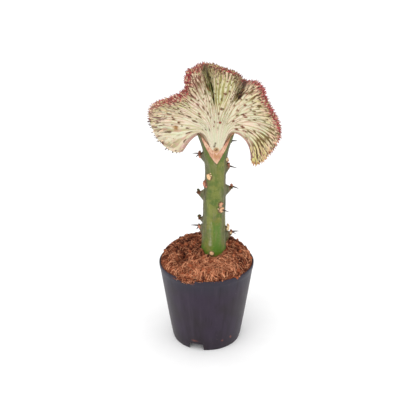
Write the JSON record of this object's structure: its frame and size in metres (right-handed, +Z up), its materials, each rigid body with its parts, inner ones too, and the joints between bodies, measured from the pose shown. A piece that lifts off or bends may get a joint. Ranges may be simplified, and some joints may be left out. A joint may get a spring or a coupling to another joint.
{
  "type": "potted coral cactus",
  "caption": "Crested coral cactus: a folded fan with a toothed growing edge, grafted in a cleft on a spiny stock that stands in a tapered nursery pot of soil.",
  "frame": {"origin": "on the ground, at the middle of the pot's flat base", "axes": "+Z up along the pot's axis and the stock, -Y toward the face of the fan shown in the picture, +X to its right"},
  "size_m": [0.1586, 0.12, 0.3574],
  "materials": {
    "pot": "satin charcoal with a slight violet cast",
    "soil": "loose reddish brown coir",
    "stock": "smooth waxy green skin, salmon cut face, dark spines",
    "crest": "waxy cream and olive ribs with a crimson toothed edge"
  },
  "bodies": {
    "root": {"pot": "pot", "soil": "soil", "stock": "stock", "crest": "crest"}
  },
  "joints": []
}
